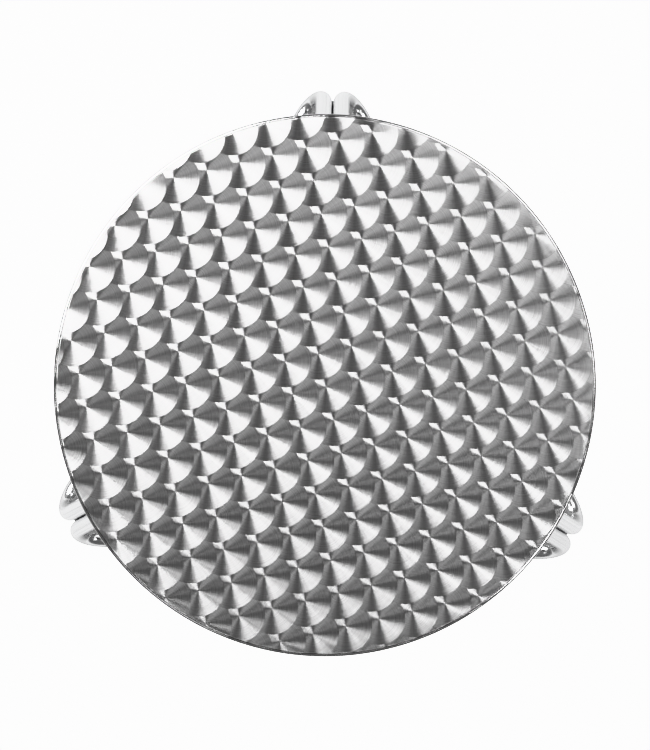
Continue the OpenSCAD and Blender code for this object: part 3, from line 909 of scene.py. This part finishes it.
def glide_insert(k):
    outer, bore, h = 5.45 * MM, 4.05 * MM, 11.9 * MM
    knurl = fluted(outer, 0.22 * MM, 24)
    profile = [(bore + 0.35 * MM, 0), (outer - 0.2 * MM, 0), (outer, 0.2 * MM), (outer, 2.2 * MM),
               (outer - 0.5 * MM, 2.6 * MM), (outer - 0.5 * MM, 3.2 * MM), (knurl, 3.6 * MM),
               (knurl, 7.0 * MM), (outer - 0.5 * MM, 7.4 * MM), (outer - 0.5 * MM, 8.0 * MM),
               (knurl, 8.4 * MM), (knurl, 11.4 * MM), (outer - 0.5 * MM, h), (bore + 0.2 * MM, h),
               (bore, h - 0.3 * MM), (bore, 0.35 * MM)]
    obj = lathe(f"threaded_insert_{k}", profile, 120)
    place(obj, foot_turn(k) @ Matrix.Translation((GLIDE_R, 0, SHOE_Z)))
    return finish_piece(sharpen(obj, 30), f"glide_insert_{k}")


def glide_stud(k):
    r = 5.6 * MM
    profile = [(0, 3.05 * MM), (r - 0.4 * MM, 3.05 * MM), (r, 3.3 * MM), (r, 5.0 * MM),
               (r - 0.3 * MM, 5.25 * MM), (3.4 * MM, 5.25 * MM)]
    profile += thread(3.42 * MM, 4.0 * MM, 1.25 * MM, 5.7 * MM, 20.2 * MM, 0.6 * MM, 12)
    profile += [(3.0 * MM, 20.38 * MM), (0, 20.4 * MM)]
    obj = lathe(f"levelling_stud_{k}", profile, 72)
    place(obj, foot_turn(k) @ Matrix.Translation((GLIDE_R, 0, 0)))
    return finish_piece(sharpen(obj, 50), f"glide_stud_{k}", f"stud_{k}")


def glide_pad(k):
    r, h = 14 * MM, 5.6 * MM
    grip = fluted(r, 0.45 * MM, 20)
    profile = [(0, 0.25 * MM), (8.6 * MM, 0.25 * MM), (9.0 * MM, 0.0), (10.6 * MM, 0.0),
               (10.9 * MM, 0.3 * MM), (11.5 * MM, 0.3 * MM), (11.8 * MM, 0.0), (r - 1.0 * MM, 0.0),
               (r - 0.45 * MM, 0.25 * MM), (grip, 0.9 * MM), (grip, 2.3 * MM), (r - 0.7 * MM, 2.75 * MM),
               (9.9 * MM, 5.2 * MM), (9.3 * MM, 5.5 * MM), (8.6 * MM, h), (4.8 * MM, h),
               (4.4 * MM, 5.4 * MM), (4.4 * MM, 5.3 * MM), (5.7 * MM, 5.3 * MM),
               (5.7 * MM, 3.0 * MM), (0, 3.0 * MM)]
    obj = lathe(f"levelling_pad_{k}", profile, 160)
    place(obj, foot_turn(k) @ Matrix.Translation((GLIDE_R, 0, 0)))
    return finish_piece(sharpen(obj, 30), f"glide_pad_{k}", f"pad_{k}")


shoe_screws()
for k in (1, 2, 3):
    foot_shoe(k)
    glide_insert(k)
    glide_stud(k)
    glide_pad(k)


# ---------------------------------------------------------------- floor, light, camera
CAMERA_UP = 3.6
ROLL = radians(1.6)
FLOOR_HALF = 8.0
FLOOR_SEEN = 3.5
ROOM_GLOW = 0.16
PANEL_UP = 0.9
# level soft lights, PANEL_UP above the top: azimuth and distance of the middle from the table's axis,
# width across the azimuth, depth along it, radiance. The key is a bank of long panels with gaps between.
LIGHTS = {
    "key_115": (115, 2.05, 0.26, 2.2, 15),
    "key_125": (125, 2.05, 0.33, 2.2, 18),
    "key_137": (137, 2.05, 0.38, 2.2, 18),
    "key_150": (150, 2.05, 0.36, 2.2, 18),
    "key_low": (165, 2.3, 0.34, 2.0, 9),
    "kicker": (-38, 1.3, 0.36, 0.7, 9),
    "right_low": (7, 1.4, 0.34, 1.1, 2.5),
    "right_fill": (50, 1.4, 1.0, 1.1, 4),
    "left_fill": (235, 1.4, 0.5, 0.6, 1.5),
}


def panel(name, azimuth, distance, width, depth, radiance):
    az = radians(azimuth) + ROLL
    data = bpy.data.lights.new(name, "AREA")
    data.shape, data.size, data.size_y = "RECTANGLE", depth, width
    data.energy = radiance * width * depth * pi
    lamp = bpy.data.objects.new(name, data)
    bpy.context.scene.collection.objects.link(lamp)
    lamp.location = (distance * cos(az), distance * sin(az), TOP_Z + PANEL_UP)
    lamp.rotation_euler = (0, 0, az)
    lamp.visible_camera = False
    return lamp


def white_to_camera(nt, surface, seen, unseen):
    """One plain tone where the camera looks straight at it, another in what the object reflects."""
    ray = nt.nodes.new("ShaderNodeLightPath")
    mix = nt.nodes.new("ShaderNodeMixShader")
    nt.links.new(ray.outputs["Is Camera Ray"], mix.inputs[0])
    nt.links.new(unseen, mix.inputs[1])
    nt.links.new(seen, mix.inputs[2])
    nt.links.new(mix.outputs[0], surface)


def stage():
    h = FLOOR_HALF
    floor = new_object("floor", [(-h, -h, 0), (h, -h, 0), (h, h, 0), (-h, h, 0)], [(0, 1, 2, 3)])
    s = Shader("floor_paper")
    s.set(Base_Color=grey(0.06), Roughness=1.0, Emission_Color=grey(1.0))
    # painted light: in reflections the paper glows, bright around the table with a painted shadow under it,
    # and fades out a little way off
    x, y, _ = s.split(s.here())
    away = s.math("SQRT", s.math("MULTIPLY_ADD", x, x, s.math("MULTIPLY", y, y)))
    shaded, glow_falloff = s.remap(away, 0.355, 0.43, 0.18, 0.9), s.remap(away, 1.0, 1.8, 1.0, 0.10)
    painted_floor_glow = s.math("MULTIPLY", shaded, glow_falloff)
    s.put(s.bsdf.inputs["Emission Strength"], painted_floor_glow)
    glow = s.node("Emission")
    glow.inputs[0].default_value = grey(1.0)
    out = s.nt.nodes["Material Output"]
    glow.inputs[1].default_value = FLOOR_SEEN
    shade = s.node("BsdfDiffuse")
    shade.inputs[0].default_value = grey(0.25)
    lit = s.node("AddShader")
    s.put(lit.inputs[0], glow.outputs[0])
    s.put(lit.inputs[1], shade.outputs[0])
    white_to_camera(s.nt, out.inputs[0], lit.outputs[0], s.bsdf.outputs[0])
    floor.data.materials.append(s.mat)
    world = bpy.data.worlds.new("studio")
    world.use_nodes = True
    nt = world.node_tree
    room = nt.nodes["Background"]
    room.inputs[0].default_value = grey(1.0)
    room.inputs[1].default_value = ROOM_GLOW
    white = nt.nodes.new("ShaderNodeBackground")
    white.inputs[0].default_value = grey(1.0)
    white.inputs[1].default_value = FLOOR_SEEN
    white_to_camera(nt, nt.nodes["World Output"].inputs[0], white.outputs[0], room.outputs[0])
    bpy.context.scene.world = world
    for name, values in LIGHTS.items():
        panel(name, *values)


def camera():
    data = bpy.data.cameras.new("camera")
    data.sensor_width = 36
    data.lens = 156.6
    data.shift_x = 0.0003
    data.shift_y = 0.0137
    cam = bpy.data.objects.new("camera", data)
    bpy.context.scene.collection.objects.link(cam)
    cam.location = (0, 0, TOP_Z + CAMERA_UP)
    cam.rotation_euler = (0, 0, ROLL)
    bpy.context.scene.camera = cam


stage()
camera()
bpy.context.scene.view_settings.view_transform = "Khronos PBR Neutral"
